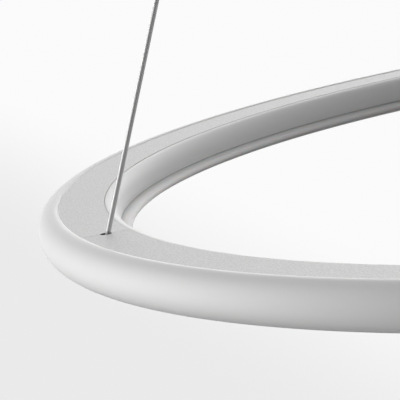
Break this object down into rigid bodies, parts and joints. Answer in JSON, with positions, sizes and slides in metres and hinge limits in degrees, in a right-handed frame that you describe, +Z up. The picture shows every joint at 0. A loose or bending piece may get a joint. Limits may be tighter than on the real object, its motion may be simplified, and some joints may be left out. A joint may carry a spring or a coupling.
{
  "type": "ring pendant lamp",
  "caption": "Slim ring-shaped LED pendant lamp, hung level from a round ceiling canopy on inward-leaning steel ropes.",
  "frame": {"origin": "centre of the canopy's flat face on the ceiling", "axes": "+Z up into the ceiling, the lamp hangs towards -Z; rope 1 lies towards +Y"},
  "size_m": [0.7999, 0.8, 0.8914],
  "materials": {
    "shell_white": "satin white paint",
    "cover_white": "fine textured white-grey powder coat",
    "opal": "satin opal",
    "canopy_white": "satin white paint",
    "rope_steel": "steel rope in a clear smooth sheath",
    "nickel": "satin nickel plate",
    "zinc_steel": "zinc plate",
    "spring_steel": "bare spring steel",
    "insulator": "natural moulded plastic",
    "grommet_rubber": "matt",
    "driver_plastic": "fine spark texture",
    "board_white": "white lacquered board",
    "led_phosphor": "phosphor in a white cup",
    "lead_sheath": "smooth silicone sheath"
  },
  "bodies": {
    "canopy": {"ceiling_plate": "zinc_steel", "canopy_cup": "canopy_white", "cup_screws": "nickel", "seat_nuts": "nickel", "supply_grommet": "grommet_rubber", "driver_case": "driver_plastic", "driver_screws": "zinc_steel", "terminal_block": "insulator", "earth_stud": "zinc_steel", "output_leads": "lead_sheath", "mains_leads": "lead_sheath", "swivel_seat_1": "insulator", "swivel_seat_2": "insulator", "swivel_seat_3": "insulator", "seat_cap_1": "nickel", "seat_cap_2": "nickel", "seat_cap_3": "nickel"},
    "ring": {"ring_body": "shell_white", "diffuser": "opal", "led_chips": "led_phosphor", "board_screws": "zinc_steel", "board_links": "insulator", "anchor_screws": "insulator", "anchor_pads": "insulator", "ring_leads": "lead_sheath", "cover_clips": "spring_steel", "top_cover_1": "cover_white", "top_cover_2": "cover_white", "top_cover_3": "cover_white", "led_board_1": "board_white", "led_board_2": "board_white", "led_board_3": "board_white", "rope_anchor_1": "nickel", "rope_anchor_2": "nickel", "rope_anchor_3": "nickel"},
    "gripper_1": {"gripper_1": "nickel", "lock_nut_1": "nickel"},
    "rope_1": {"rope_1": "rope_steel", "ball_end_1": "nickel"},
    "collar_1": {"release_collar_1": "nickel"},
    "gripper_2": {"gripper_2": "nickel", "lock_nut_2": "nickel"},
    "rope_2": {"rope_2": "rope_steel", "ball_end_2": "nickel"},
    "collar_2": {"release_collar_2": "nickel"},
    "gripper_3": {"gripper_3": "nickel", "lock_nut_3": "nickel"},
    "rope_3": {"rope_3": "rope_steel", "ball_end_3": "nickel"},
    "collar_3": {"release_collar_3": "nickel"}
  },
  "joints": [
    {"name": "ring_height", "type": "slide", "parent": "canopy", "child": "ring", "axis": [0, 0, 1], "range_m": [0, 0.05]},
    {"name": "gripper_1_swivel", "type": "hinge", "parent": "canopy", "child": "gripper_1", "pos_m": [0, 0.075, -0.068], "axis": [1, 0, 0], "range_deg": [0, 1.24]},
    {"name": "rope_1_feed", "type": "slide", "parent": "gripper_1", "child": "rope_1", "axis": [0, -0.3507, 0.9365], "range_m": [0, 0.0467]},
    {"name": "collar_1_press", "type": "slide", "parent": "gripper_1", "child": "collar_1", "axis": [0, -0.3507, 0.9365], "range_m": [0, 0.0025], "stiffness_N_per_m": 600, "springref_m": -0.002},
    {"name": "gripper_2_swivel", "type": "hinge", "parent": "canopy", "child": "gripper_2", "pos_m": [-0.06495, -0.0375, -0.068], "axis": [-0.5, 0.866, 0], "range_deg": [0, 1.24]},
    {"name": "rope_2_feed", "type": "slide", "parent": "gripper_2", "child": "rope_2", "axis": [0.3037, 0.1754, 0.9365], "range_m": [0, 0.0467]},
    {"name": "collar_2_press", "type": "slide", "parent": "gripper_2", "child": "collar_2", "axis": [0.3037, 0.1754, 0.9365], "range_m": [0, 0.0025], "stiffness_N_per_m": 600, "springref_m": -0.002},
    {"name": "gripper_3_swivel", "type": "hinge", "parent": "canopy", "child": "gripper_3", "pos_m": [0.06495, -0.0375, -0.068], "axis": [-0.5, -0.866, 0], "range_deg": [0, 1.24]},
    {"name": "rope_3_feed", "type": "slide", "parent": "gripper_3", "child": "rope_3", "axis": [-0.3037, 0.1754, 0.9365], "range_m": [0, 0.0467]},
    {"name": "collar_3_press", "type": "slide", "parent": "gripper_3", "child": "collar_3", "axis": [-0.3037, 0.1754, 0.9365], "range_m": [0, 0.0025], "stiffness_N_per_m": 600, "springref_m": -0.002}
  ],
  "couplings": [
    {"joint": "gripper_1_swivel", "follows": "ring_height", "rad_per_m": 0.4263},
    {"joint": "rope_1_feed", "follows": "ring_height", "ratio": 0.93336},
    {"joint": "gripper_2_swivel", "follows": "ring_height", "rad_per_m": 0.4263},
    {"joint": "rope_2_feed", "follows": "ring_height", "ratio": 0.93336},
    {"joint": "gripper_3_swivel", "follows": "ring_height", "rad_per_m": 0.4263},
    {"joint": "rope_3_feed", "follows": "ring_height", "ratio": 0.93336}
  ]
}
